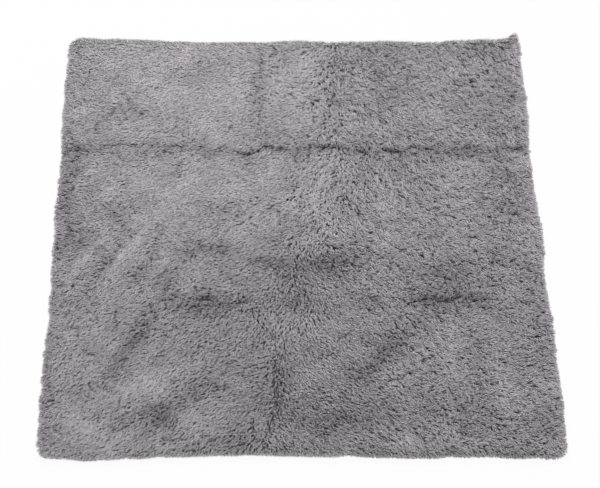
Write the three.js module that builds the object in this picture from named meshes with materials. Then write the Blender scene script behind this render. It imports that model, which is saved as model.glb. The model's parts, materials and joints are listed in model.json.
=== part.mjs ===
import * as THREE from 'three';

// A square plush fleece cleaning cloth, laid flat with its long pile up.
// It is one knitted fabric with a long pile on its face and a short pile on its back, cut without
// a hem. Two pressed creases across it divide it into thirds, which fold like a letter.
// Lengths are in millimetres: +X runs to the right, +Y away from the viewer and +Z up.
// The origin is at the middle of the square, on the surface that the cloth lies on.

// The cut square: its thirds from the near edge to the far one, and its corners
const cutWidth = 400;
const nearThirdLength = 133;
const middleThirdLength = 146;
const farThirdLength = 121;
const cornerRadius = 8;

// The layers, from the underside up
const backPileHeight = 2;
const knitThickness = 0.75;
const facePileHeight = 5.25;

// The cut edge: a thin melted rim on the knit, and the pile that rolls out over it
const fusedRimWidth = 1.2;
const fusedRimThickness = 0.35;
const facePileOverhang = 2.5;
const backPileOverhang = 1.2;
const facePileShoulder = 4.5;
const backPileShoulder = 1.4;
const facePileTip = 0.8;
const backPileTip = 0.5;
const facePileBeltShare = 0.36;
const backPileBeltShare = 0.4;

// The pressed creases: the two across the cloth part the thirds, and the long one only dents them
const creaseGap = 0.3;
const creaseDepth = 2.2;
const creaseHalfWidth = 9;
const creasePinch = 1.4;
const backCreaseDepth = 0.7;
const longCreaseFromLeft = 178;
const longCreaseDepth = 1.3;
const longCreaseHalfWidth = 11;

// The soft swells of the face and the slow waves of the cut edge
const swellDepth = 0.7;
const swellWidth = 118;
const swellLength = 94;
const swellSlantShare = 0.4;
const edgeWaveDepth = 1.1;
const leftWaveLength = 104;
const rightWaveLength = 122;
const nearWaveLength = 148;
const farWaveLength = 126;
const edgeWaveReach = 30;

// How finely the curved forms are divided
const rollSteps = 3;
const faceColumnStep = 26;
const faceStationStep = 18;
const flatColumnStep = 56;
const flatStationStep = 34;
const valleyShares = [0, 0.3, 0.62, 1];

const cutLength = nearThirdLength + middleThirdLength + farThirdLength;
const longCreaseX = longCreaseFromLeft - cutWidth / 2;
const cornerZone = cornerRadius + facePileOverhang + facePileShoulder * 2;

const plush = new THREE.MeshStandardMaterial({ color: 0x8a878a, roughness: 0.95, metalness: 0 });
const backPlush = new THREE.MeshStandardMaterial({ color: 0x858285, roughness: 0.95, metalness: 0 });
const knit = new THREE.MeshStandardMaterial({ color: 0x6a676b, roughness: 0.9, metalness: 0 });

// Each layer is set out from its root side up, and the back pile then hangs upside down under the knit.
// Its edge bulges by the overhang at the belt, which is as thick as the tip, and rounds over to the shoulder.
const layers = [
  {
    name: 'back_pile',
    material: backPlush,
    floor: 0,
    height: backPileHeight,
    hangs: true,
    overhang: backPileOverhang,
    shoulder: backPileShoulder,
    belt: backPileHeight * backPileBeltShare,
    tip: backPileTip,
    creaseDepth: backCreaseDepth,
    longCreaseDepth: 0,
    swellDepth: 0,
    columnStep: flatColumnStep,
    stationStep: flatStationStep,
  },
  {
    name: 'ground_knit',
    material: knit,
    floor: backPileHeight,
    height: knitThickness,
    hangs: false,
    overhang: 0,
    shoulder: fusedRimWidth,
    belt: knitThickness / 2,
    tip: fusedRimThickness,
    creaseDepth: 0,
    longCreaseDepth: 0,
    swellDepth: 0,
    columnStep: flatColumnStep,
    stationStep: flatStationStep,
  },
  {
    name: 'face_pile',
    material: plush,
    floor: backPileHeight + knitThickness,
    height: facePileHeight,
    hangs: false,
    overhang: facePileOverhang,
    shoulder: facePileShoulder,
    belt: facePileHeight * facePileBeltShare,
    tip: facePileTip,
    creaseDepth,
    longCreaseDepth,
    swellDepth,
    columnStep: faceColumnStep,
    stationStep: faceStationStep,
  },
];

// The thirds, with the place of each one's middle and which of its ends are cut edges
const thirds = [
  { name: 'near', length: nearThirdLength, middle: (nearThirdLength - cutLength) / 2, cutNear: true },
  { name: 'middle', length: middleThirdLength, middle: (nearThirdLength - farThirdLength) / 2 },
  { name: 'far', length: farThirdLength, middle: (cutLength - farThirdLength) / 2, cutFar: true },
];

// Evenly spaced places from one value to another, no further apart than the step
function spread(from, to, step) {
  const count = Math.max(1, Math.ceil((to - from) / step));
  return Array.from({ length: count + 1 }, (_, i) => from + ((to - from) * i) / count);
}

// How deep a pressed crease is at a distance from its line: 1 on the line and 0 past its half width
function valley(distance, halfWidth) {
  const share = Math.min(1, Math.abs(distance) / halfWidth);
  return (1 - share) ** 2 * (1 + 2 * share);
}

// How far a waving cut edge lies inside its straight line, at a distance from the edge's middle
function edgeWave(distance, waveLength) {
  return (edgeWaveDepth * (1 - Math.cos((2 * Math.PI * distance) / waveLength))) / 2;
}

// How much of the swells' depth the face lacks at a place: 0 on a swell and 1 between swells
function swellShare(x, y) {
  const along = Math.cos((2 * Math.PI * y) / swellLength);
  const across = Math.cos((2 * Math.PI * (x + y * swellSlantShare)) / swellWidth);
  return (1 - along * across) / 2;
}

// How far a quarter round has risen, as a share of its height, at a distance along its run
function quarterRound(distance, run) {
  const share = THREE.MathUtils.clamp(distance / run, 0, 1);
  return Math.sqrt(1 - (1 - share) ** 2);
}

// The heights of a rolled edge's lower and upper faces at an inset from its outermost line
function rolledEdge(layer, inset) {
  const lowest = layer.belt - layer.tip / 2;
  const highest = layer.belt + layer.tip / 2;
  const upper = quarterRound(inset, layer.overhang + layer.shoulder);
  return {
    low: lowest * (1 - quarterRound(inset, layer.overhang + fusedRimWidth)),
    high: highest + (layer.height - highest) * upper,
  };
}

// The insets at which a quarter round is divided, from its outermost line to the end of its run
function rollInsets(run) {
  const turns = Array.from({ length: rollSteps + 1 }, (_, i) => (Math.PI / 2) * (i / rollSteps));
  return turns.map((turn) => run * (1 - Math.cos(turn)));
}

// How far a rounded corner cuts in at a distance from the cut edge's outermost line
function cornerInset(layer, distance) {
  const radius = cornerRadius + layer.overhang;
  const beyond = THREE.MathUtils.clamp(radius - distance, 0, radius);
  return radius - Math.sqrt(radius ** 2 - beyond ** 2);
}

// How far a third reaches from its own middle: over a cut edge, and to just short of a crease
function endReach(layer, third, isCut) {
  return third.length / 2 + (isCut ? layer.overhang : -creaseGap / 2);
}

// The places along a third where its sections stand, measured from the third's own middle
function stations(layer, third) {
  const insets = (isCut) => {
    if (isCut) return rollInsets(layer.overhang + layer.shoulder);
    return valleyShares.map((share) => share * creaseHalfWidth);
  };
  const near = insets(third.cutNear).map((inset) => inset - endReach(layer, third, third.cutNear));
  const far = insets(third.cutFar).map((inset) => endReach(layer, third, third.cutFar) - inset);
  const inner = spread(near.at(-1), far.at(-1), layer.stationStep);
  return [...near.slice(0, -1), ...inner, ...far.slice(0, -1).reverse()];
}

// The places across the cloth where the sections of a layer have their inner points
function columns(layer) {
  const end = cutWidth / 2 - cornerZone;
  if (!layer.longCreaseDepth) return spread(-end, end, layer.columnStep);
  const left = longCreaseX - longCreaseHalfWidth;
  const right = longCreaseX + longCreaseHalfWidth;
  const dent = [(left + longCreaseX) / 2, longCreaseX, (right + longCreaseX) / 2];
  return [...spread(-end, left, layer.columnStep), ...dent, ...spread(right, end, layer.columnStep)];
}

// One closed section across a layer: the underside and the face from left to right, and the rolled
// edges from the root out over the belt and up
function section(layer, third, along) {
  const fromNear = along + endReach(layer, third, third.cutNear);
  const fromFar = endReach(layer, third, third.cutFar) - along;
  const fromCut = Math.min(third.cutNear ? fromNear : Infinity, third.cutFar ? fromFar : Infinity);
  const fromCrease = Math.min(third.cutNear ? Infinity : fromNear, third.cutFar ? Infinity : fromFar);
  const pressed = valley(fromCrease, creaseHalfWidth);
  const flattened = 1 - (layer.creaseDepth * pressed) / layer.height;
  const halfWidth = cutWidth / 2 + layer.overhang - creasePinch * pressed - cornerInset(layer, fromCut);
  const leftEdge = edgeWave(along, leftWaveLength) - halfWidth;
  const rightEdge = halfWidth - edgeWave(along, rightWaveLength);

  // The near and far cut edges wave too, and the wave fades into the cloth
  const fade = Math.max(0, 1 - fromCut / edgeWaveReach);
  const end = rolledEdge(layer, fromCut);
  const place = (x, height) => {
    const wave = third.cutNear ? edgeWave(x, nearWaveLength) : -edgeWave(x, farWaveLength);
    const z = end.low + ((end.high - end.low) * height) / layer.height;
    return new THREE.Vector3(x, along + wave * fade, layer.hangs ? layer.height - z : z);
  };
  const faceHeight = (x) => {
    const dent = layer.longCreaseDepth * valley(x - longCreaseX, longCreaseHalfWidth);
    const swell = layer.swellDepth * swellShare(x, third.middle + along) * (1 - pressed);
    return layer.height - Math.max(dent, layer.creaseDepth * pressed) - swell;
  };
  const rolled = (edgeLine, side) => {
    const at = (inset, height) => place(edgeLine - side * inset, height * flattened);
    const low = rollInsets(layer.overhang + fusedRimWidth).slice(0, -1);
    const high = rollInsets(layer.overhang + layer.shoulder).slice(0, -1);
    return [
      ...low.reverse().map((inset) => at(inset, rolledEdge(layer, inset).low)),
      ...high.map((inset) => at(inset, rolledEdge(layer, inset).high)),
    ];
  };
  const inner = columns(layer);
  const between = (run) => [leftEdge + layer.overhang + run, ...inner, rightEdge - layer.overhang - run];
  return {
    underside: between(fusedRimWidth).map((x) => place(x, 0)),
    right: rolled(rightEdge, 1),
    face: between(layer.shoulder).map((x) => place(x, faceHeight(x))),
    left: rolled(leftEdge, -1),
  };
}

// The triangles that close a loft at one of its rings, facing the near side
function ringCap(ring, width, rolledCount) {
  const underside = ring.slice(0, width);
  const right = ring.slice(width, width + rolledCount);
  const face = ring.slice(width + rolledCount, 2 * width + rolledCount).reverse();
  const left = ring.slice(2 * width + rolledCount);
  const rightRim = [...right, face.at(-1)];
  const leftRim = [face[0], ...left];
  return [
    ...underside.slice(1).flatMap((corner, j) => [
      [underside[j], corner, face[j + 1]],
      [underside[j], face[j + 1], face[j]],
    ]),
    ...rightRim.slice(1).map((corner, j) => [underside.at(-1), rightRim[j], corner]),
    ...leftRim.slice(1).map((corner, j) => [underside[0], leftRim[j], corner]),
  ];
}

// A closed solid through sections that all have the same number of points
function loft(sections, upsideDown) {
  const vertices = [];
  const rings = sections.map(({ underside, right, face, left }) => {
    const outline = [...underside, ...right, ...[...face].reverse(), ...[...left].reverse()];
    return outline.map((point) => vertices.push(point.x, point.y, point.z) / 3 - 1);
  });
  const sides = rings.slice(1).flatMap((next, i) =>
    rings[i].flatMap((corner, j) => {
      const after = (j + 1) % next.length;
      return [
        [corner, next[j], next[after]],
        [corner, next[after], rings[i][after]],
      ];
    }),
  );
  const [nearCap, farCap] = [rings[0], rings.at(-1)].map((ring) =>
    ringCap(ring, sections[0].underside.length, sections[0].right.length),
  );
  const outward = [...sides, ...nearCap, ...farCap.map((corners) => corners.reverse())];
  const geometry = new THREE.BufferGeometry();
  geometry.setAttribute('position', new THREE.Float32BufferAttribute(vertices, 3));
  geometry.setIndex(outward.flatMap((corners) => (upsideDown ? corners.reverse() : corners)));
  geometry.computeVertexNormals();
  return geometry;
}

function layerMesh(layer, third) {
  const sections = stations(layer, third).map((along) => section(layer, third, along));
  const mesh = new THREE.Mesh(loft(sections, layer.hangs), layer.material);
  mesh.name = `${third.name}_${layer.name}`;
  mesh.position.z = layer.floor;
  return mesh;
}

const cloth = new THREE.Group();
for (const third of thirds) {
  const panel = new THREE.Group();
  panel.position.y = third.middle;
  panel.add(...layers.map((layer) => layerMesh(layer, third)));
  cloth.add(panel);
}

export default cloth;
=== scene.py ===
import json
import math

import bmesh
import bpy
import numpy as np
from mathutils import Euler, Matrix, Vector

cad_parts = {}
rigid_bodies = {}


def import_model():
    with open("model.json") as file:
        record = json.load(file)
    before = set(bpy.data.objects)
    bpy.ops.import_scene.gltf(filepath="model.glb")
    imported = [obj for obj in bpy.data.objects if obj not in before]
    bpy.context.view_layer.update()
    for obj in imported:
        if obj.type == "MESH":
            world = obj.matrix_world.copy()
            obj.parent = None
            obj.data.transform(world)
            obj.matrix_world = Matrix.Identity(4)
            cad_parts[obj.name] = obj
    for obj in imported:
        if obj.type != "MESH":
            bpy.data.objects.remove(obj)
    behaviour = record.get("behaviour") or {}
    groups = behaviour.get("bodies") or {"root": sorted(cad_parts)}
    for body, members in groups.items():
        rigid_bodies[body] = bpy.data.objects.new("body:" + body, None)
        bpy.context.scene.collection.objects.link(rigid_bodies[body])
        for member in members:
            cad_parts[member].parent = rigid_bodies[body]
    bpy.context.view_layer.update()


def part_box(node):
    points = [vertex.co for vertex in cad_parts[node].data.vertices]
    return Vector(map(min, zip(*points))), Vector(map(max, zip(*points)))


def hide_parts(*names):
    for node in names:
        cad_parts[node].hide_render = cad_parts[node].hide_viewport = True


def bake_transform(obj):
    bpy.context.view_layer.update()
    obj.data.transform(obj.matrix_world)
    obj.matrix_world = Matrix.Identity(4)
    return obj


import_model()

# A square plush fleece cloth, laid flat with its long pile up. Plan measures are in millimetres,
# +X to the right and +Y away from the camera, until a mesh is made in metres.
MM = 0.001


def box_mm(node):
    """The low and the high corner of a node's box, in millimetres."""
    low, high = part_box(node)
    return np.array(low) / MM, np.array(high) / MM


# Measures taken from the frame
knit_low, knit_high = box_mm("middle_ground_knit")
CUT_HALF = knit_high[0]
KNIT_UNDERSIDE = knit_low[2]
KNIT_TOP = knit_high[2]
FACE_TOP = box_mm("middle_face_pile")[1][2]
NEAR_CREASE = (box_mm("near_ground_knit")[1][1] + knit_low[1]) / 2
FAR_CREASE = (box_mm("far_ground_knit")[0][1] + knit_high[1]) / 2
NEAR_CUT = box_mm("near_ground_knit")[0][1]
FAR_CUT = box_mm("far_ground_knit")[1][1]
MEETING = (NEAR_CREASE + FAR_CREASE) / 2
FACE_HEIGHT = FACE_TOP - KNIT_TOP
BACK_HEIGHT = KNIT_UNDERSIDE

# The strands of the pile, in millimetres. A real fibre is too fine to show, so each strand stands for
# a lock of fibres. Its unit shape is scaled to its own length, which is about the usual length here.
FACE_STRAND_SPACING = 0.8
BACK_STRAND_SPACING = 1.6
FACE_STRAND_WIDTH = 0.75
BACK_STRAND_WIDTH = 1.4
FACE_STRAND_LENGTH = 7.0
BACK_STRAND_LENGTH = 3.6
ROOT_DEPTH = 0.1
TUFT_SPACING = 1.4

# A strand of the face that lies flat, and what it gains in height and loses in reach where ruffled
LYING_HEIGHT = 3.3
RUFFLED_RISE = 1.3
LYING_REACH = 6.0
RUFFLED_LOSS = 3.0

# How much a tip, and a strand's reach over the edge, vary at random, and the swirls of the tangled pile
TIP_SCATTER = 0.2
RIM_SCATTER = 0.12
SWIRL_SIZE = 3.4

# The cut edge: a bare melted rim, then a rim where the strands stand twice as close. The face pile
# spills over the edge in bundles, and the back pile hardly does. Over the span FAR_RIM of Y the face turns
# into the far edge's, which keeps its height. A corner's outward way turns over a few millimetres.
BARE_RIM = 0.4
THICK_RIM = 2.6
FACE_SPILL = 3.0
FACE_OVERHANG = 2.5
FAR_RIM = (185, 197)
BUNDLE_SPACING = 5.5
BACK_RIM = 2.0
BACK_SPILL = 1.8
BACK_OVERHANG = 1.0
BACK_LENGTH = 2.8
BACK_REACH = 3.0
BACK_PILE_HEIGHT = 1.45
EDGE_TURN = 5.0
FAR_LEFT_RADIUS = 11.0
FAR_RIGHT_RADIUS = 3.0
NEAR_RADIUS = 6.0

# The long crease's place, how wide the pressed creases part the pile, how wide they press it down, how
# far they and the finer partings pull its tips, and the seeds of the two cross creases
LONG_CREASE_X = -22.0
CREASE_REACH = 5.0
PRESSED_REACH = 3.0
CREASE_PULL = 2.8
PARTING_PULL = 1.5
FAR_CREASE_SEED = 21
NEAR_CREASE_SEED = 22

# Where the near crease is sharp: the middle along X, the half width and the strength
NEAR_CREASE_SHARP = [(-72, 32, 0.8), (124, 38, 0.95)]

# The random hills of each field, as their height, their size in millimetres and their seed
LEFT_WAVER = [(0.7, 9, 41)]
RIGHT_WAVER = [(0.6, 12, 42)]
NEAR_WAVER = [(0.9, 11, 43)]
FAR_WAVER = [(0.6, 12, 44)]
RUFFLE_HILLS = [(0.10, 34, 3), (0.08, 12, 4)]
LONG_CREASE_HILLS = [(-3.0, 16, 23), (-1.5, 7, 24)]
NAP_TURN_HILLS = [(0.8, 38, 5), (0.4, 9, 6)]
NAP_LEAN_HILLS = [(0.3, 45, 7), (0.25, 14, 8)]
PILE_HEIGHT_HILLS = [(0.35, 17, 9)]
OVERHANG_HILLS = [(0.4, 9, 12)]
BACK_NAP_HILLS = [(40, 60, 33), (25, 16, 34)]

# The tuft that stands up at the far right corner: where it is, its half width, its reach and its rise
CORNER_TUFT = (196, 204)
CORNER_TUFT_WIDTH = 4
CORNER_TUFT_REACH = 5.5
CORNER_TUFT_RISE = 2.5


# Smooth random fields over the plan
def hills(x, y, size, seed):
    """Soft random hills from -1 to 1, about as wide as the size."""
    cells = 64
    heights = np.random.default_rng(seed).uniform(-1, 1, (cells, cells))
    u, v = x / size + cells / 2, y / size + cells / 2
    i, j = np.floor(u).astype(int), np.floor(v).astype(int)
    fu, fv = u - i, v - j
    fu, fv = fu * fu * (3 - 2 * fu), fv * fv * (3 - 2 * fv)

    def at(a, b):
        return heights[a % cells, b % cells]

    near = at(i, j) * (1 - fu) + at(i + 1, j) * fu
    far = at(i, j + 1) * (1 - fu) + at(i + 1, j + 1) * fu
    return near * (1 - fv) + far * fv


def hilly(level, x, y, layers):
    """A level with layers of random hills on it."""
    for height, size, seed in layers:
        level = level + height * hills(x, y, size, seed)
    return level


def step(values, low, high):
    """A smooth rise from 0 at the low value to 1 at the high one."""
    t = np.clip((values - low) / (high - low), 0, 1)
    return t * t * (3 - 2 * t)


# The outline: how far each cut edge lies in from its straight line, at even steps along it
LEFT_WANDER = [0.6, 0.3, -0.1, 2.3, 0.5, 0.5, 0.6, 1.3, 0.1, 0.2, 0.8]
RIGHT_WANDER = [1.3, -0.9, 0.2, -0.2, 2.1, -1.4, 1.9, 2.3, -1.2, -0.2, -1.4]
NEAR_WANDER = [-0.6, -3.0, -0.7, 0.1, 0.7, 0.4, -0.6, -2.4, -1.1, -3.0, -3.3]
FAR_WANDER = [-3.3, -1.5, 0.0, 2.0, 1.6, -0.9, 0.0, -0.7, 0.0, -3.4, -5.6]


def wander(along, offsets):
    """How far a cut edge lies in from its straight line at places along it."""
    places = np.linspace(-CUT_HALF, CUT_HALF, len(offsets))
    return np.interp(along, places, offsets)


def edge_lines(x, y):
    """Where the four cut edges lie beside a place: they wander, and waver a little on the way."""
    left = hilly(-CUT_HALF + wander(y, LEFT_WANDER), y, 0 * y, LEFT_WAVER)
    right = hilly(CUT_HALF - wander(y, RIGHT_WANDER), y, 0 * y, RIGHT_WAVER)
    near = hilly(NEAR_CUT + wander(x, NEAR_WANDER), x, 0 * x, NEAR_WAVER)
    far = hilly(FAR_CUT - wander(x, FAR_WANDER), x, 0 * x, FAR_WAVER)
    return left, right, near, far


def inside(x, y):
    """The distance in from the cut edge, with round corners, and the outward direction."""
    left, right, near, far = edge_lines(x, y)
    dx = np.minimum(x - left, right - x)
    dy = np.minimum(y - near, far - y)
    side_x = np.where(x - left < right - x, -1.0, 1.0)
    side_y = np.where(y - near < far - y, -1.0, 1.0)
    radius = np.where(y > 0, np.where(x < 0, FAR_LEFT_RADIUS, FAR_RIGHT_RADIUS), NEAR_RADIUS)
    in_corner = (dx < radius) & (dy < radius)
    from_round = radius - np.hypot(radius - dx, radius - dy)
    distance = np.where(in_corner, from_round, np.minimum(dx, dy))
    pull_x, pull_y = np.exp(-dx / EDGE_TURN), np.exp(-dy / EDGE_TURN)
    length = np.hypot(pull_x, pull_y) + 1e-9
    return distance, side_x * pull_x / length, side_y * pull_y / length


# Patches where the pile is ruffled up, with a strength above 0, or brushed flat, with one below 0. Through
# the material they are also painted shade where ruffled and painted light where brushed flat. The turn is in
# degrees.
RUFFLED = [
    # x, y, half length, half width, turn, strength
    # the far third
    (-30, 150, 38, 6, 84, 0.7),
    (-30, 182, 12, 8, 90, 0.25),
    (72, 162, 10, 9, 0, 0.75),
    (62, 182, 14, 12, 0, 0.4),
    (162, 184, 22, 10, 0, 0.45),
    (145, 151, 15, 12, 0, 0.3),
    (-186, 170, 14, 24, 0, 0.35),
    (-182, 82, 12, 7, 0, 0.4),
    (-82, 83, 30, 6, 0, 0.25),
    (10, 82, 30, 6, 0, 0.3),
    (150, 82, 45, 6, 0, 0.3),
    (-110, 175, 40, 20, 0, -0.15),
    (-75, 112, 22, 22, 0, -0.1),
    (10, 150, 16, 44, 0, -0.4),
    (24, 165, 20, 24, 0, -0.14),
    (-22, 140, 16, 18, 0, 0.12),
    (-62, 102, 20, 16, 0, 0.1),
    # the middle third
    (-152, 19, 13, 11, 20, 0.45),
    (-182, -10, 20, 12, 25, 0.5),
    (-190, 45, 10, 50, 0, 0.6),
    (38, 29, 5, 9, 0, 0.5),
    (175, 24, 8, 20, 0, 0.4),
    (168, 55, 14, 8, 0, 0.25),
    (-70, -16, 26, 5, 8, 0.8),
    (-26, -29, 17, 6, -18, 0.9),
    (22, -31, 26, 10, 8, 1.0),
    (-98, -34, 20, 6, 62, 0.5),
    (122, -42, 26, 14, 30, 0.55),
    (-100, 48, 80, 12, 0, -0.3),
    (-110, 17, 13, 15, 0, -0.3),
    (-82, 60, 44, 22, 0, 0.14),
    (-140, 20, 20, 24, 0, 0.16),
    (-160, -20, 30, 40, 0, 0.06),
    (80, 20, 40, 20, 0, -0.16),
    (-62, -20, 16, 12, 0, 0.2),
    (20, 44, 7, 34, 0, -0.55),
    (76, 34, 34, 24, 0, -0.35),
    (30, 20, 26, 20, 0, -0.14),
    (140, 20, 20, 16, 0, -0.1),
    (110, -8, 30, 10, 0, -0.3),
    (-170, -24, 24, 4, 58, -0.8),
    (-152, -28, 24, 4, 58, 0.7),
    (-137, -20, 28, 4, 58, -0.8),
    (-122, -30, 26, 4, 60, 0.6),
    (-70, -38, 20, 6, 0, -0.4),
    # the near third
    (-69, -69, 28, 8, 0, 0.95),
    (0, -67, 13, 10, 0, 0.65),
    (54, -68, 11, 9, 0, 0.6),
    (123, -66, 34, 8, 2, 0.95),
    (-128, -100, 40, 8, 58, 0.9),
    (-18, -140, 26, 8, 90, 0.5),
    (64, -112, 34, 9, 45, 0.9),
    (47, -134, 12, 9, 0, 0.5),
    (113, -120, 7, 20, 0, -0.5),
    (134, -150, 5, 26, 0, 0.5),
    (-135, -172, 40, 5, 26, 0.3),
    (24, -171, 28, 10, 5, 0.6),
    (-25, -128, 60, 46, 0, 0.1),
    (-105, -168, 14, 12, 0, 1.1),
    (-88, -150, 16, 9, 40, 0.4),
    (-60, -188, 22, 8, 0, 0.3),
    (101, -166, 9, 9, 0, 0.6),
    (122, -172, 6, 14, 0, 0.6),
    (168, -177, 14, 9, 0, 0.2),
    (187, -95, 10, 22, 0, 0.2),
    (-122, -138, 52, 6, 26, -0.4),
    (-142, -142, 20, 16, 26, 0.36),
    (-182, -98, 18, 22, 0, -0.14),
    (186, -50, 16, 30, 0, 0.2),
    (140, -142, 50, 20, 0, -0.22),
    (182, -150, 16, 30, 0, -0.14),
    (90, -100, 20, 16, 0, -0.1),
    (-172, -178, 26, 18, 20, -0.45),
    (8, -132, 12, 10, 0, -0.7),
    (26, -88, 14, 8, 0, -0.35),
    (-84, -166, 6, 14, 0, -0.4),
    (78, -187, 11, 8, 0, -0.8),
    (154, -130, 9, 34, 0, -0.7),
]


def crease_wander(along, seed):
    """How far a pressed crease strays from its straight line, in long and in short waves."""
    return hilly(0, along, 0 * along, [(3.8, 21, seed), (3.0, 8, seed + 9)])


def ruffle(x, y):
    """How ruffled the pile is: 0 is brushed flat and smooth, 1 stands up in open tufts. The material paints
    from it: painted shade where ruffled, painted light where brushed flat.
    """
    amount = hilly(0.24, x, y, RUFFLE_HILLS)
    near_part = 0.1 * step(-y, 10, 50) * step(x, -130, -90)
    far_right_part = 0.06 * step(x, 20, 60) * step(y, -20, 20)
    left_rim, right_rim = 0.12 * step(-x, 150, 185), 0.3 * step(x, 186, 197)
    amount += near_part + left_rim
    amount += 0.03 * x / CUT_HALF - 0.07 * y / CUT_HALF - right_rim
    amount -= far_right_part
    for middle_x, middle_y, long, wide, turn, strength in RUFFLED:
        c, s = math.cos(math.radians(turn)), math.sin(math.radians(turn))
        along = ((x - middle_x) * c + (y - middle_y) * s) / long
        across = ((y - middle_y) * c - (x - middle_x) * s) / wide
        amount += 0.6 * strength * np.exp(-(along**2 + across**2))
    # A ruffled band beside the far crease, which the material also paints darker: painted shade of the
    # crease
    beyond_crease = y - FAR_CREASE - 3 - crease_wander(x, FAR_CREASE_SEED)
    amount += 0.3 * np.exp(-((beyond_crease / 6) ** 2))
    return np.clip(amount, -0.3, 1)


def pressed_line(off, strength, broken, press=1.0):
    """How one crease pulls the pile apart and how far it presses it, at a distance off its line."""
    pull = np.sign(off) * (np.exp(-((off / CREASE_REACH) ** 2)) * strength * broken)
    return pull, press * np.exp(-((off / PRESSED_REACH) ** 2)) * strength * broken


def crease_pull(x, y):
    """How the pressed creases part the pile: the pull along X and Y, and how far they press it."""
    pull_y, pressed = np.zeros_like(x), np.zeros_like(x)
    far_strength = 0.8 - 0.3 * step(-x, 20, 60) + 0.3 * step(-x, 150, 180)
    near_strength = 0.1
    for middle, width, strength in NEAR_CREASE_SHARP:
        near_strength = near_strength + strength * np.exp(-(((x - middle) / width) ** 2))
    for line, strength, seed in (
        (FAR_CREASE + 4, far_strength, FAR_CREASE_SEED),
        (NEAR_CREASE + 1, near_strength, NEAR_CREASE_SEED),
    ):
        broken = np.clip(0.45 + 0.75 * hills(x, y * 0, 11, seed=seed + 5), 0, 1)
        pull, press = pressed_line(y - line - crease_wander(x, seed), strength, broken)
        pull_y += pull
        pressed += press
    long_strength = 0.5 * step(-y, 75, 95) + 0.35 * step(y, 90, 110)
    broken = np.clip(0.4 + 0.7 * hills(x * 0, y, 12, seed=29), 0, 1)
    drift = 6 * step(y, 0, 80)
    off = hilly(x - LONG_CREASE_X + drift, x * 0, y, LONG_CREASE_HILLS)
    pull_x, press = pressed_line(off, long_strength, broken, press=0.8)
    return pull_x, pull_y, np.clip(pressed + press, 0, 1)


def nap(x, y, own):
    """The lean of the pile: it is brushed outwards from the middle, and towards the near edge.

    Also says how near a place is to the middle, where the two ways mix. The middle lies farther to
    the right in the far part of the cloth.
    """
    near_middle, far_shift, turn_width, mixed_width = -15, 63, 40, 36
    middle = near_middle + far_shift * step(y, -60, 50)
    sideways = hilly((x - middle) / turn_width, x, y, NAP_TURN_HILLS) + 0.35 * own
    lean_x = np.tanh(1.8 * sideways)
    mixed = np.exp(-(((x - middle) / mixed_width) ** 2))
    left = step(-x, -60, 20)
    right_lean, left_lean = -0.48 - 0.12 * step(-y, 40, 110), -0.4 + 0.0022 * y
    lean_y = right_lean * (1 - left) + left_lean * left
    lean_y += hilly(0, x, y, NAP_LEAN_HILLS)
    length = np.hypot(lean_x, lean_y) + 1e-6
    return lean_x / length, lean_y / length, mixed


# Strands: each shape is a closed strand about one unit long, from its root at the origin, leaning to +X.
# The ring at its bend is turned by a share of its lean, and counts as a share of the way up to its tip.
BAKE_MAP = "OFBake"
RING_UP = 0.75
RING_LEAN = 0.8


def strand_shape(name, width, bend, tip):
    """A three-sided strand, pointed at both ends and widest at its bend."""
    depth = 1.0
    shape = bmesh.new()
    up = shape.verts.layers.float.new("up_strand")
    bmesh.ops.create_cone(shape, cap_ends=True, segments=3, radius1=width / 2, radius2=0, depth=depth)
    cap = min(shape.faces, key=lambda f: f.calc_center_median().z)
    root = bmesh.ops.poke(shape, faces=[cap])["verts"][0]
    end = max(shape.verts, key=lambda v: v.co.z)
    ring = [v for v in shape.verts if v not in (root, end)]
    lean = Matrix.Rotation(math.atan2(tip[0], tip[2]) * RING_LEAN, 3, "Y")
    bmesh.ops.translate(shape, verts=ring, vec=(0, 0, depth / 2))
    bmesh.ops.rotate(shape, verts=ring, cent=(0, 0, 0), matrix=lean)
    bmesh.ops.translate(shape, verts=ring, vec=bend)
    root.co, end.co = (0, 0, 0), tip
    for vert in ring:
        vert[up] = RING_UP
    end[up] = 1.0
    bmesh.ops.recalc_face_normals(shape, faces=shape.faces)
    unwrap_strand(shape, up)
    mesh = bpy.data.meshes.new(name)
    for face in shape.faces:
        face.smooth = False
    shape.to_mesh(mesh)
    shape.free()
    strand = bpy.data.objects.new(name, mesh)
    strand["tip"] = tip
    return strand


def unwrap_strand(shape, up):
    """Each face gets a band of the strand's own square, with its height up the strand as V."""
    cells = shape.loops.layers.uv.new(BAKE_MAP)
    sides = len(shape.faces)
    margin = 0.1
    for i, face in enumerate(shape.faces):
        for loop, along in zip(face.loops, (margin, 1 - margin, 0.5)):
            loop[cells].uv = ((i + along) / sides, margin + (1 - 2 * margin) * loop.vert[up])


def strand_kit(name, width, shapes):
    """The strand shapes of one pile, each given by its bend and its tip."""
    kit = bpy.data.collections.new(name)
    for i, (bend, tip) in enumerate(shapes):
        kit.objects.link(strand_shape(f"{name}_{i}", width, bend, tip))
    return kit


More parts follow.
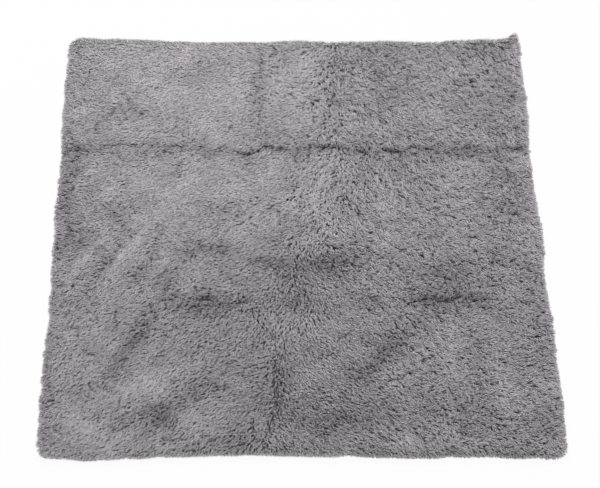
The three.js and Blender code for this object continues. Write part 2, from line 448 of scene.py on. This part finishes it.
# The first strands lie along the nap, the last ones stand and hook over at the tip
LYING_KINDS = 4
face_kit = strand_kit(
    "face_strand",
    FACE_STRAND_WIDTH / FACE_STRAND_LENGTH,
    [
        ((0.28, 0.00, 0.62), (0.64, 0.02, 0.74)),
        ((0.32, 0.07, 0.58), (0.68, -0.03, 0.70)),
        ((0.25, -0.07, 0.64), (0.62, 0.05, 0.74)),
        ((0.35, 0.04, 0.55), (0.74, 0.08, 0.62)),
        ((0.12, 0.00, 0.66), (0.52, 0.05, 0.70)),
        ((0.14, 0.06, 0.64), (0.50, -0.20, 0.68)),
        ((0.10, -0.06, 0.68), (0.54, 0.20, 0.68)),
        ((0.16, 0.00, 0.60), (0.60, -0.04, 0.60)),
    ],
)
back_kit = strand_kit(
    "back_strand",
    BACK_STRAND_WIDTH / BACK_STRAND_LENGTH,
    [
        ((0.16, 0.05, 0.50), (0.64, 0.02, 0.70)),
        ((0.24, -0.10, 0.44), (0.70, 0.10, 0.62)),
        ((0.12, 0.12, 0.52), (0.58, -0.10, 0.76)),
    ],
)


def jittered(spacing, seed):
    """Even places over the whole cloth and a little beyond, each moved a little at random."""
    rng = np.random.default_rng(seed)
    margin = 6
    across = np.arange(-CUT_HALF - margin, CUT_HALF + margin, spacing)
    grid_x, grid_y = np.meshgrid(across, across)
    grid_x = grid_x + (np.arange(len(across)) % 2)[:, None] * spacing / 2
    x = grid_x.ravel() + rng.uniform(-0.5, 0.5, grid_x.size) * spacing
    y = grid_y.ravel() + rng.uniform(-0.5, 0.5, grid_x.size) * spacing
    return x, y, rng


def locks_of(x, y, lean_x, lean_y, spacing, seed, long=2.0):
    """The lock that each strand belongs to, longer along the nap.

    Gives its middle, how far off that is, its own random numbers, how much farther the next lock is,
    the way from that lock to this one, and that lock's random numbers.
    """
    cells, stray = 256, 0.42
    neighbours = (-2, -1, 0, 1, 2)
    rng = np.random.default_rng(seed)
    shift = rng.uniform(-stray, stray, (2, cells, cells))
    marks = rng.uniform(-1, 1, (4, cells, cells))
    i0, j0 = np.floor(x / spacing).astype(int), np.floor(y / spacing).astype(int)
    best, second = np.full(x.shape, np.inf), np.full(x.shape, np.inf)
    middle, next_middle = np.zeros((2, len(x))), np.zeros((2, len(x)))
    own, other = np.zeros((4, len(x))), np.zeros((4, len(x)))
    for di in neighbours:
        for dj in neighbours:
            i, j = (i0 + di) % cells, (j0 + dj) % cells
            centre = np.stack([i0 + di + 0.5 + shift[0, i, j], j0 + dj + 0.5 + shift[1, i, j]]) * spacing
            along = ((x - centre[0]) * lean_x + (y - centre[1]) * lean_y) / long
            across = (y - centre[1]) * lean_x - (x - centre[0]) * lean_y
            distance = np.hypot(along, across)
            nearest, nearer = distance < best, distance < second
            next_middle = np.where(nearest, middle, np.where(nearer, centre, next_middle))
            other = np.where(nearest, own, np.where(nearer, marks[:, i, j], other))
            second = np.where(nearest, best, np.where(nearer, distance, second))
            middle = np.where(nearest, centre, middle)
            own = np.where(nearest, marks[:, i, j], own)
            best = np.where(nearest, distance, best)
    away = middle - next_middle
    away /= np.hypot(*away) + 1e-9
    return middle, best, own, second - best, away, other


# Partings, where neighbouring locks of the pile fall apart: the locks' width, how much longer they
# are along the nap, how far in the parting reaches, and how readily it opens
PARTINGS = [
    (16.0, 1.5, 1.3, 0.5),
    (9.0, 1.7, 1.0, 0.36),
    (5.4, 1.8, 0.8, 0.24),
]


def bent(values, x, y, width, seed):
    """Places moved along one axis in waves half as long as the lock is wide, and in fine ones."""
    return values + 0.22 * width * hills(x, y, 0.5 * width, seed) + 0.8 * hills(x, y, 2.5, seed + 10)


def parting_pull(x, y, lean_x, lean_y, rough, tangled):
    """How the partings pull the pile apart along X and Y, and how far they open it."""
    pull_x, pull_y, opened = np.zeros_like(x), np.zeros_like(x), np.zeros_like(x)
    for i, (width, long, reach, readily) in enumerate(PARTINGS):
        bent_x, bent_y = bent(x, x, y, width, seed=300 + i), bent(y, x, y, width, seed=320 + i)
        lock_length = long * (1.9 - 0.9 * tangled)
        locks = locks_of(bent_x, bent_y, lean_x, lean_y, width, seed=60 + i, long=lock_length)
        _, _, own, gap, away, other = locks
        chance = 0.35 * hills(x, y, width, seed=340 + i)
        willing = 0.5 * (own[2] + other[2]) + chance + 1.2 * (rough - 0.35)
        strength = step(willing, 0.5 - readily, 0.95 - readily)
        shape = np.exp(-((gap / 2 / reach) ** 2)) * strength
        pull_x += away[0] * shape
        pull_y += away[1] * shape
        opened += np.exp(-((gap / 1.4 / reach) ** 2)) * strength
    return pull_x, pull_y, np.clip(opened, 0, 1)


def on_knit(x, y):
    """The places inside the melted rim, with their distance in from the cut edge and the way out to it."""
    edge, out_x, out_y = inside(x, y)
    kept = edge > BARE_RIM
    return [values[kept] for values in (x, y, edge, out_x, out_y)]


def turned(lean_x, lean_y, twist):
    """A lean turned by a twist in radians."""
    c, s = np.cos(twist), np.sin(twist)
    return lean_x * c - lean_y * s, lean_x * s + lean_y * c


def face_roots():
    """Where the strands of the face stand: all over the knit, and twice as close at its rim."""
    x, y, rng = jittered(FACE_STRAND_SPACING, seed=1)
    more_x, more_y, _ = jittered(FACE_STRAND_SPACING, seed=4)
    at_rim = inside(more_x, more_y)[0] < THICK_RIM
    x, y = np.append(x, more_x[at_rim]), np.append(y, more_y[at_rim])
    return *on_knit(x, y), rng


def lean_in_tuft(root, tuft_lean, own, rough, tangled, rng):
    """The lean of each strand: that of its tuft, turned a little, and in swirls where it is tangled."""
    twist_degrees, swirl_degrees = 6 + 30 * rough + 10 * tangled, 45 * tangled
    twist = own[3] * np.radians(twist_degrees) + rng.normal(0, 0.1, len(rough))
    twist += np.radians(swirl_degrees) * hills(*root, SWIRL_SIZE, seed=77)
    return turned(*tuft_lean, twist)


def reach_and_height(root, from_middle, own, rough, mixed, rng):
    """How far each strand of the face reaches along its lean, and how high it stands."""
    reach_change, height_change = 0.06 + 0.12 * rough, 0.05 + 0.12 * rough
    reach = (LYING_REACH - RUFFLED_LOSS * rough) * (1 + reach_change * own[1]) * (1 - 0.25 * mixed)
    reach *= rng.uniform(0.85, 1.1, len(rough))
    height = LYING_HEIGHT + RUFFLED_RISE * rough + 0.4 * mixed
    height = height * (1 + height_change * own[2]) * (1 - 0.08 * from_middle)
    height += hilly(0.3, *root, PILE_HEIGHT_HILLS)
    height *= rng.uniform(0.8, 1.1, len(rough))
    return reach, height


def spilled(root, rim_way, lean, tip, height, rng):
    """The tips and heights at the cut edge, where the strands fan out over it in small bundles.

    The nearer a strand stands to the edge the lower it is, but the far edge keeps its height.
    """
    (x, y), (edge, out_x, out_y), (tip_x, tip_y) = root, rim_way, tip
    rim = np.exp(-edge / THICK_RIM)
    at_far_edge = step(y, *FAR_RIM)
    (bundle_x, bundle_y), _, bundle = locks_of(x, y, *lean, BUNDLE_SPACING, seed=14)[:3]
    spill = FACE_SPILL + at_far_edge
    gather = 0.08 + 0.3 * out_x**2
    tip_x = tip_x * (1 - 0.75 * rim) + rim * (out_x * spill + gather * (bundle_x - x))
    tip_y = tip_y * (1 - 0.75 * rim) + rim * (out_y * spill + gather * (bundle_y - y))
    bundle_reach = (0.3 + 1.2 * out_x**2) * np.maximum(bundle[1], 0) ** 2
    reach_out = hilly(FACE_OVERHANG - 0.5 * at_far_edge, x, y, OVERHANG_HILLS) + bundle_reach
    reach_out += rng.normal(0, RIM_SCATTER, len(x))
    height *= (1 - (0.6 - 0.6 * at_far_edge) * rim) * (1 + 0.08 * at_far_edge * hills(x, 0 * x, 5, seed=13))
    reach_out -= 0.3 * np.maximum(2.4 - height, 0) * np.maximum(-out_y, 0)
    beyond = tip_x * out_x + tip_y * out_y - edge - reach_out
    beyond = np.where(beyond > 0, 0.9 * beyond, 0.8 * step(rim, 0.3, 0.6) * beyond)
    return tip_x - beyond * out_x, tip_y - beyond * out_y, height


def with_corner_tuft(root, tip, height):
    """The tips and heights with the one tuft that stands up at the far right corner."""
    (x, y), (tip_x, tip_y) = root, tip
    off_x, off_y = (x - CORNER_TUFT[0]) / CORNER_TUFT_WIDTH, (y - CORNER_TUFT[1]) / CORNER_TUFT_WIDTH
    tuft = np.exp(-(off_x**2) - off_y**2)
    tip_x, tip_y = tip_x + tuft * 0.7 * (CORNER_TUFT[0] + 1 - x), tip_y + tuft * CORNER_TUFT_REACH
    rise = CORNER_TUFT_RISE * tuft
    return tip_x, tip_y, np.clip(height + rise, 0.4, FACE_HEIGHT - 0.2 + rise)


def shade_and_kind(own, rough, mixed, tangled, rng):
    """Each strand's shade and shape: most are light, a few much darker as painted shade for strands in the
    shadow of others, all vary at random as painted light and shade, and the combed ones vary more.
    """
    count = len(rough)
    # A few strands painted much darker, painted shade, and a random spread of painted light and shade
    shade = 0.66 + 0.08 * own[3] - 0.9 * rng.uniform(0, 1, count) ** 4
    shade = shade + rng.normal(0, 0.32 - 0.14 * tangled, count)
    kinds = len(face_kit.objects)
    hooked = rng.uniform(0, 1, count) < 0.5 * mixed * (1 - rough) + 0.1
    kind = np.where(hooked, rng.integers(LYING_KINDS, kinds, count), rng.integers(0, LYING_KINDS, count))
    return shade, kind


def face_strands():
    """Every strand of the face: its root, turn, length, shape and shade.

    The pile is combed smooth on the left and tangled on the right. Where the nap turns, it is mixed.
    """
    x, y, edge, out_x, out_y, rng = face_roots()
    root, count = (x, y), len(x)
    flow_x, flow_y, _ = nap(x, y, 0)
    tangled = step(x + 0.3 * y, -20, 60)
    tuft_length = 3.0 - 1.6 * tangled
    tufts = locks_of(x, y, flow_x, flow_y, TUFT_SPACING, seed=2, long=tuft_length)
    middle, from_middle, own = tufts[:3]
    *tuft_lean, mixed = nap(*middle, own[0])
    ruffled = ruffle(*middle)
    rough = np.maximum(ruffled, 0)
    lean_x, lean_y = lean_in_tuft(root, tuft_lean, own, rough, tangled, rng)
    reach, height = reach_and_height(root, from_middle, own, rough, mixed, rng)

    # The strands of a tuft gather into one lock: always across the nap, and also along it where ruffled
    to_x, to_y = middle - root
    gather_along, gather_across = 0.05 + 0.3 * rough, 0.35 - 0.2 * tangled + 0.15 * rough
    along = (to_x * lean_x + to_y * lean_y) * gather_along
    across = (to_y * lean_x - to_x * lean_y) * gather_across

    # The creases and the partings pull the tips apart. The partings pull less where the nap turns, on the
    # combed left and in the near right part.
    part_x, part_y, pressed = crease_pull(x, y)
    lively = (1 - 0.35 * mixed) * (1 - 0.3 * tangled * step(-y, 20, 90)) * (0.78 + 0.22 * tangled)
    partings = parting_pull(x, y, flow_x, flow_y, ruffle(x, y), tangled)
    fine_x, fine_y, opened = (values * lively for values in partings)
    tip_x = lean_x * (reach + along) - lean_y * across + CREASE_PULL * part_x + PARTING_PULL * fine_x
    tip_x = tip_x + rng.normal(0, TIP_SCATTER, count)
    tip_y = lean_y * (reach + along) + lean_x * across + CREASE_PULL * part_y + PARTING_PULL * fine_y
    tip_y = tip_y + rng.normal(0, TIP_SCATTER, count)
    height *= (1 - 0.4 * pressed) * (1 - 0.15 * opened)

    rim_way, lean = (edge, out_x, out_y), (lean_x, lean_y)
    tip_x, tip_y, height = spilled(root, rim_way, lean, (tip_x, tip_y), height, rng)
    tip_x, tip_y, height = with_corner_tuft(root, (tip_x, tip_y), height)
    shade, kind = shade_and_kind(own, rough, mixed, tangled, rng)
    # Partings and pressed creases count as more ruffled here, which only the material reads: painted shade
    # where the pile parts or is pressed
    ruffled = np.clip(ruffled + 0.35 * opened + 0.5 * pressed, -0.3, 1.5)
    z = np.full(count, KNIT_TOP - ROOT_DEPTH)
    return strands(face_kit, 1, (x, y, z), (tip_x, tip_y, height), kind, shade, ruffled)


def strands(kit, up, root, tip, kind, shade, rough):
    """Roots with the turn and the length that bring each strand's own shape from its root to its tip.

    A strand of the back pile, with up at -1, is turned over and hangs down.
    """
    (x, y, z), (tip_x, tip_y, height) = root, tip
    tips = np.array([list(s["tip"]) for s in sorted(kit.objects, key=lambda s: s.name)])[kind]
    reach = np.hypot(tip_x, tip_y)
    length = np.hypot(reach, height) / np.linalg.norm(tips, axis=1)
    tilt = np.arctan2(reach, height) - np.arctan2(tips[:, 0], tips[:, 2])
    yaw = np.arctan2(tip_y, tip_x)
    turn = np.stack([np.full(len(x), 0.0 if up > 0 else math.pi), up * tilt, yaw], 1)
    return {
        "root": np.stack([x, y, z], 1) * MM,
        "turn": turn,
        "length": length * MM,
        "kind": kind,
        "shade": np.clip(shade, 0, 1),
        "ruffle": rough,
    }


def back_strands():
    """Every strand of the short pile under the knit."""
    x, y, rng = jittered(BACK_STRAND_SPACING, seed=31)
    x, y, edge, out_x, out_y = on_knit(x, y)
    count = len(x)
    heading = np.radians(hilly(-75, x, y, BACK_NAP_HILLS))
    lean_x, lean_y = np.cos(heading), np.sin(heading)
    (middle_x, middle_y), _, own = locks_of(x, y, lean_x, lean_y, TUFT_SPACING, seed=32)[:3]
    twist = own[0] * 0.6 + rng.normal(0, 0.25, count)
    lean_x, lean_y = turned(lean_x, lean_y, twist)
    reach = BACK_LENGTH * (1 + 0.2 * own[1])
    tip_x = lean_x * reach + 0.5 * (middle_x - x) + rng.normal(0, 0.4, count)
    tip_y = lean_y * reach + 0.5 * (middle_y - y) + rng.normal(0, 0.4, count)
    rim = np.exp(-edge / BACK_RIM)
    tip_x = tip_x * (1 - 0.5 * rim) + out_x * rim * BACK_SPILL
    tip_y = tip_y * (1 - 0.5 * rim) + out_y * rim * BACK_SPILL
    beyond = np.maximum(tip_x * out_x + tip_y * out_y - edge - BACK_OVERHANG, 0)
    tip_x, tip_y = tip_x - beyond * out_x, tip_y - beyond * out_y
    over = np.maximum(np.hypot(tip_x, tip_y) / BACK_REACH, 1)
    tip_x, tip_y = tip_x / over, tip_y / over
    height = np.clip(BACK_PILE_HEIGHT * (1 + 0.1 * own[2]) * (1 - 0.4 * rim), 0.3, BACK_HEIGHT - ROOT_DEPTH)
    shade = 0.5 + 0.25 * own[3] + rng.normal(0, 0.12, count)
    kind = rng.integers(0, len(back_kit.objects), count)
    rough = np.full(count, 0.4)
    z = np.full(count, KNIT_UNDERSIDE + ROOT_DEPTH)
    return strands(back_kit, -1, (x, y, z), (tip_x, tip_y, height), kind, shade, rough)


def add(tree, kind, inputs=None, **settings):
    """Adds a node with its settings, and each input's value or the socket that it is linked from."""
    node = tree.nodes.new(kind)
    for name, value in settings.items():
        setattr(node, name, value)
    for name, value in (inputs or {}).items():
        if isinstance(value, bpy.types.NodeSocket):
            tree.links.new(value, node.inputs[name])
        else:
            node.inputs[name].default_value = value
    return node


def placed(name, data):
    """An object of the scene around its mesh, lamp or camera."""
    made = bpy.data.objects.new(name, data)
    bpy.context.collection.objects.link(made)
    return made


# What each root needs for planting its strand, and what it leaves on the strand for the materials
PLANTING_FIELDS = {
    "turn": "FLOAT_VECTOR",
    "length": "FLOAT",
    "kind": "INT",
    "square": "FLOAT_VECTOR",
    "squares": "FLOAT",
}
MATERIAL_FIELDS = {"shade": "FLOAT", "ruffle": "FLOAT"}


def planting(kit):
    tree = bpy.data.node_groups.new(f"plant_{kit.name}", "GeometryNodeTree")
    tree.interface.new_socket("Geometry", in_out="INPUT", socket_type="NodeSocketGeometry")
    tree.interface.new_socket("Geometry", in_out="OUTPUT", socket_type="NodeSocketGeometry")
    roots = add(tree, "NodeGroupInput")
    fields = {}
    for name, kind in (*PLANTING_FIELDS.items(), (BAKE_MAP, "FLOAT_VECTOR")):
        field = add(tree, "GeometryNodeInputNamedAttribute", {"Name": name}, data_type=kind)
        fields[name] = field.outputs["Attribute"]
    shapes = add(tree, "GeometryNodeCollectionInfo", {"Collection": kit, "Separate Children": True})
    turn = add(tree, "FunctionNodeEulerToRotation", {0: fields["turn"]})
    planted = add(
        tree,
        "GeometryNodeInstanceOnPoints",
        {
            "Points": roots.outputs[0],
            "Instance": shapes.outputs[0],
            "Pick Instance": True,
            "Instance Index": fields["kind"],
            "Rotation": turn.outputs[0],
            "Scale": fields["length"],
        },
    )
    joined = add(tree, "GeometryNodeRealizeInstances", {"Geometry": planted.outputs[0]})
    square = add(tree, "ShaderNodeVectorMath", {0: fields[BAKE_MAP], 1: fields["square"]})
    parts = {0: square.outputs[0], 1: fields["squares"]}
    share = add(tree, "ShaderNodeVectorMath", parts, operation="DIVIDE")
    mapped = add(
        tree,
        "GeometryNodeStoreNamedAttribute",
        {"Geometry": joined.outputs[0], "Name": BAKE_MAP, "Value": share.outputs[0]},
        data_type="FLOAT2",
        domain="CORNER",
    )
    add(tree, "NodeGroupOutput", {0: mapped.outputs[0]})
    return tree


def grow(name, roots, tree, finish):
    """One piece of the pile, from the roots of its strands."""
    count = len(roots["root"])
    side = math.ceil(math.sqrt(count))
    square = np.stack([np.arange(count) % side, np.arange(count) // side, np.zeros(count)], 1)
    bed = bpy.data.meshes.new(f"{name}_roots")
    bed.vertices.add(count)
    bed.vertices.foreach_set("co", roots["root"].astype(np.float32).ravel())
    values = {**roots, "square": square, "squares": np.full(count, side)}
    for key, kind in {**PLANTING_FIELDS, **MATERIAL_FIELDS}.items():
        layer = bed.attributes.new(key, kind, "POINT")
        field = "vector" if kind == "FLOAT_VECTOR" else "value"
        number = np.int32 if kind == "INT" else np.float32
        layer.data.foreach_set(field, np.ascontiguousarray(values[key], number).ravel())
    planted = placed(f"{name}_roots", bed)
    planted.modifiers.new("plant", "NODES").node_group = tree
    graph = bpy.context.evaluated_depsgraph_get()
    mesh = bpy.data.meshes.new_from_object(planted.evaluated_get(graph))
    mesh.name = name
    for key in PLANTING_FIELDS:
        if key in mesh.attributes:
            mesh.attributes.remove(mesh.attributes[key])
    mesh.materials.clear()
    mesh.materials.append(finish)
    piece = placed(name, mesh)
    bpy.data.objects.remove(planted)
    return piece


def picked(roots, chosen):
    """The chosen ones of the roots."""
    return {key: value[chosen] for key, value in roots.items()}


# Materials. The patches are painted light and shade, lighter and darker as plush brushed different ways
# catches the light, and the ribs are a course of the knit wide. A wave texture has one rib in each tenth of
# pi.
NAP_LIGHT_PATCH_SIZE = 22.0
RIB_SPACING = 1.2
RIB_DEPTH = 0.3
WHITE = (1, 1, 1, 1)


def linear(code):
    """An sRGB hex colour as linear red, green, blue and alpha."""
    shares = [int(code[i : i + 2], 16) / 255 for i in (0, 2, 4)]
    return (*[c / 12.92 if c <= 0.04045 else ((c + 0.055) / 1.055) ** 2.4 for c in shares], 1.0)


def material(name):
    """A new material with an empty tree of nodes."""
    made = bpy.data.materials.new(name)
    made.use_nodes = True
    tree = made.node_tree
    tree.nodes.clear()
    return made, tree


def brushed_microfibre(name, shaded_root_colour, tip_colour):
    """Split polyester microfibre, brushed into plush: dull light tips over roots painted dark, painted shade
    deep in the pile, with a soft sheen.

    Each strand has a shade of its own, with brushed patches of painted light and shade over it. Ruffled,
    parted and pressed plush is painted darker as painted shade, and brushed-flat plush lighter as painted
    light.
    """
    made, tree = material(name)
    place = add(tree, "ShaderNodeTexCoord").outputs["Object"]
    up = add(tree, "ShaderNodeAttribute", attribute_name="up_strand")
    shade = add(tree, "ShaderNodeAttribute", attribute_name="shade")
    ruffled = add(tree, "ShaderNodeAttribute", attribute_name="ruffle")
    # Patches of painted light and shade, as brushed plush catches the light
    nap_light_patch_scale = 1 / (NAP_LIGHT_PATCH_SIZE * MM)
    nap_light_patches = add(tree, "ShaderNodeTexNoise", {"Vector": place, "Scale": nap_light_patch_scale, "Detail": 1.0})
    # The lower part of each strand is painted darker: painted shade deep in the pile
    rise = add(tree, "ShaderNodeMapRange", {"Value": up.outputs["Fac"], "From Min": 0.0, "From Max": 0.85})
    ends = {"Factor": rise.outputs[0], "A": linear(shaded_root_colour), "B": linear(tip_colour)}
    base = add(tree, "ShaderNodeMix", ends, data_type="RGBA")
    vary = add(tree, "ShaderNodeMath", {0: shade.outputs["Fac"], 1: nap_light_patches.outputs["Fac"]}, operation="ADD")
    shades = {"From Min": 0.3, "From Max": 1.7, "To Min": 0.68, "To Max": 1.26}
    light = add(tree, "ShaderNodeMapRange", {"Value": vary.outputs[0], **shades})
    # Painted shade and light: ruffled, parted and pressed plush is painted darker, brushed-flat plush
    # lighter
    ruffle_shading = {"From Min": -0.3, "From Max": 1.1, "To Min": 1.2, "To Max": 0.72}
    ruffle_shade = add(tree, "ShaderNodeMapRange", {"Value": ruffled.outputs["Fac"], **ruffle_shading})
    tone = add(tree, "ShaderNodeMath", {0: light.outputs[0], 1: ruffle_shade.outputs[0]}, operation="MULTIPLY")
    toned = {0: base.outputs["Result"], "Scale": tone.outputs[0]}
    colour = add(tree, "ShaderNodeVectorMath", toned, operation="SCALE")
    surface = add(
        tree,
        "ShaderNodeBsdfPrincipled",
        {
            "Base Color": colour.outputs[0],
            "Roughness": 0.6,
            "Specular IOR Level": 0.3,
            "Sheen Weight": 0.15,
            "Sheen Roughness": 0.5,
        },
    )
    add(tree, "ShaderNodeOutputMaterial", {"Surface": surface.outputs[0]})
    return made


def warp_knit(name, colour):
    """Warp-knitted polyester ground: fine ribs along the cloth, dull and darker than the pile on it."""
    made, tree = material(name)
    place = add(tree, "ShaderNodeTexCoord").outputs["Object"]
    rib_scale = math.pi / 10 / (RIB_SPACING * MM)
    ribbed = {"Vector": place, "Scale": rib_scale, "Distortion": 0.6, "Detail": 1.0}
    ribs = add(tree, "ShaderNodeTexWave", ribbed).outputs["Fac"]
    tone = add(tree, "ShaderNodeMapRange", {"Value": ribs, "To Min": 0.7, "To Max": 1.1})
    toned = {0: linear(colour)[:3], "Scale": tone.outputs[0]}
    dyed = add(tree, "ShaderNodeVectorMath", toned, operation="SCALE")
    bump = add(tree, "ShaderNodeBump", {"Height": ribs, "Distance": RIB_DEPTH * MM})
    surface = add(
        tree,
        "ShaderNodeBsdfPrincipled",
        {"Base Color": dyed.outputs[0], "Roughness": 0.9, "Normal": bump.outputs[0]},
    )
    add(tree, "ShaderNodeOutputMaterial", {"Surface": surface.outputs[0]})
    return made


# The dark root colours are painted shade, darker down by the knit where the pile shades itself
face_plush = brushed_microfibre("brushed_microfibre_face", "5c585c", "d0ccd0")
back_plush = brushed_microfibre("brushed_microfibre_back", "8a868a", "d0ccd0")
ground = warp_knit("warp_knit_ground", "757175")

# The cloth in two halves that meet in the middle third: each one's span, its crease and the way that its
# outer third lies from there.
HALVES = {
    "near": (NEAR_CUT, MEETING, NEAR_CREASE, -1),
    "far": (MEETING, FAR_CUT, FAR_CREASE, 1),
}
KNIT_CELLS = (90, 46)


def blend_half(piece):
    """Bakes a piece's place into its mesh."""
    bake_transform(piece)


def knit_sheet(half):
    """One half of the ground knit: a flat sheet out to the cut edges, with its real thickness."""
    low, high = HALVES[half][:2]
    sheet = bmesh.new()
    bmesh.ops.create_grid(sheet, x_segments=KNIT_CELLS[0], y_segments=KNIT_CELLS[1], size=1.0)
    for vert in sheet.verts:
        x = vert.co.x * CUT_HALF
        y = low + (high - low) * (vert.co.y + 1) / 2
        left, right, near, far = (float(a) for a in edge_lines(np.array(x), np.array(y)))
        vert.co.x = np.interp(x, (-CUT_HALF, CUT_HALF), (left, right))
        vert.co.y = np.interp(y, (NEAR_CUT, MEETING, FAR_CUT), (near, MEETING, far))
        vert.co.z = (KNIT_TOP + KNIT_UNDERSIDE) / 2
    for vert in sheet.verts:
        distance, out_x, out_y = (float(a) for a in inside(np.array(vert.co.x), np.array(vert.co.y)))
        if distance < 0:
            vert.co.x += out_x * distance
            vert.co.y += out_y * distance
    bmesh.ops.scale(sheet, verts=sheet.verts, vec=(MM, MM, MM))
    mesh = bpy.data.meshes.new(f"{half}_knit")
    sheet.to_mesh(mesh)
    sheet.free()
    mesh.materials.append(ground)
    piece = placed(f"{half}_knit", mesh)
    thick = piece.modifiers.new("thickness", "SOLIDIFY")
    thick.thickness = (KNIT_TOP - KNIT_UNDERSIDE) * MM
    thick.offset = 0
    graph = bpy.context.evaluated_depsgraph_get()
    piece.data = bpy.data.meshes.new_from_object(piece.evaluated_get(graph))
    piece.modifiers.clear()
    return piece


knits = {half: knit_sheet(half) for half in HALVES}

# The pile, in bands across each half so that no piece grows too large. The outer bands reach past the cut.
FACE_BANDS = 5
BACK_BANDS = 2
BANDS_MARGIN = 10
pile = {"near": [], "far": []}
for layer, roots, kit, finish, bands in (
    ("face", face_strands(), face_kit, face_plush, FACE_BANDS),
    ("back", back_strands(), back_kit, back_plush, BACK_BANDS),
):
    tree = planting(kit)
    band_edges = np.linspace(-CUT_HALF - BANDS_MARGIN, CUT_HALF + BANDS_MARGIN, bands + 1)
    root = roots["root"] / MM
    for half in HALVES:
        in_half = (root[:, 1] < MEETING) == (half == "near")
        for band, (left, right) in enumerate(zip(band_edges, band_edges[1:])):
            chosen = in_half & (root[:, 0] >= left) & (root[:, 0] < right)
            piece = grow(f"{half}_{layer}_pile_{band + 1}", picked(roots, chosen), tree, finish)
            blend_half(piece)
            pile[half].append(piece)

for half, knit in knits.items():
    blend_half(knit)

for half, knit in knits.items():
    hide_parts(f"{half}_ground_knit", "middle_ground_knit")
for half, pieces in pile.items():
    for piece in pieces:
        layer = "face_pile" if "face" in piece.name else "back_pile"
        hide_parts(f"{half}_{layer}", f"middle_{layer}")

# The floor, the light and the camera, in metres. The light is level enough for a colour to render about
# as it is written.
FLOOR_HALF = 4.0
FLOOR_GLOW = 0.95
SKY_LEVEL = 0.447
LAMP_SIDE = 0.3
LAMP_WATTS = 17.1
LAMP_PLACE = (-0.22, 0.87, 1.5)
SENSOR_WIDTH = 36
FOCAL_WIDTHS = 1497.7 / 600
CAMERA_PLACE = (-0.04164, -0.66424, 1.05101)
CAMERA_DIP = 1.01273
CAMERA_HEADING = -0.06527
CAMERA_ROLL = 0.0552


def backdrop_rays(tree):
    """1 for the rays that see the white backdrop: from the camera, and off or through a smooth surface."""
    path = add(tree, "ShaderNodeLightPath")
    seen = path.outputs["Is Camera Ray"]
    for kind in ("Is Glossy Ray", "Is Transmission Ray"):
        seen = add(tree, "ShaderNodeMath", {0: seen, 1: path.outputs[kind]}, operation="MAXIMUM").outputs[0]
    return seen


floor_mesh = bpy.data.meshes.new("floor")
plane = bmesh.new()
bmesh.ops.create_grid(plane, x_segments=1, y_segments=1, size=FLOOR_HALF)
plane.to_mesh(floor_mesh)
plane.free()
placed("floor", floor_mesh)

# Matt white paint, which looks nearly as white as the backdrop and keeps a faint shadow of the cloth
matte, tree = material("matt_white_paint_floor")
paint = add(tree, "ShaderNodeBsdfDiffuse", {"Color": linear("f4f4f4")})
glow = add(tree, "ShaderNodeEmission", {"Color": WHITE, "Strength": 1.0})
seen = add(tree, "ShaderNodeMath", {0: backdrop_rays(tree), 1: FLOOR_GLOW}, operation="MULTIPLY")
both = add(tree, "ShaderNodeMixShader", {0: seen.outputs[0], 1: paint.outputs[0], 2: glow.outputs[0]})
add(tree, "ShaderNodeOutputMaterial", {"Surface": both.outputs[0]})
floor_mesh.materials.append(matte)

world = bpy.data.worlds.new("soft_sky")
world.use_nodes = True
bpy.context.scene.world = world
tree = world.node_tree
tree.nodes.clear()
sky = add(tree, "ShaderNodeBackground", {"Color": WHITE, "Strength": SKY_LEVEL})
backdrop = add(tree, "ShaderNodeBackground", {"Color": WHITE, "Strength": 1.0})
both = add(tree, "ShaderNodeMixShader", {0: backdrop_rays(tree), 1: sky.outputs[0], 2: backdrop.outputs[0]})
add(tree, "ShaderNodeOutputWorld", {"Surface": both.outputs[0]})

lamp_data = bpy.data.lights.new("softbox", "AREA")
lamp_data.shape = "RECTANGLE"
lamp_data.size = LAMP_SIDE
lamp_data.size_y = LAMP_SIDE
lamp_data.energy = LAMP_WATTS
lamp = placed("softbox", lamp_data)
lamp.location = LAMP_PLACE
lamp.rotation_euler = (Vector((0, 0, 0)) - lamp.location).to_track_quat("-Z", "Y").to_euler()

camera_data = bpy.data.cameras.new("camera")
camera_data.sensor_width = SENSOR_WIDTH
camera_data.lens = SENSOR_WIDTH * FOCAL_WIDTHS
camera_data.clip_start = 0.05
camera = placed("camera", camera_data)
heading = Euler((math.pi / 2 - CAMERA_DIP, 0, CAMERA_HEADING))
aim = heading.to_matrix() @ Matrix.Rotation(CAMERA_ROLL, 3, "Z")
camera.matrix_world = Matrix.Translation(CAMERA_PLACE) @ aim.to_4x4()
bpy.context.scene.camera = camera
bpy.context.scene.view_settings.view_transform = "Standard"
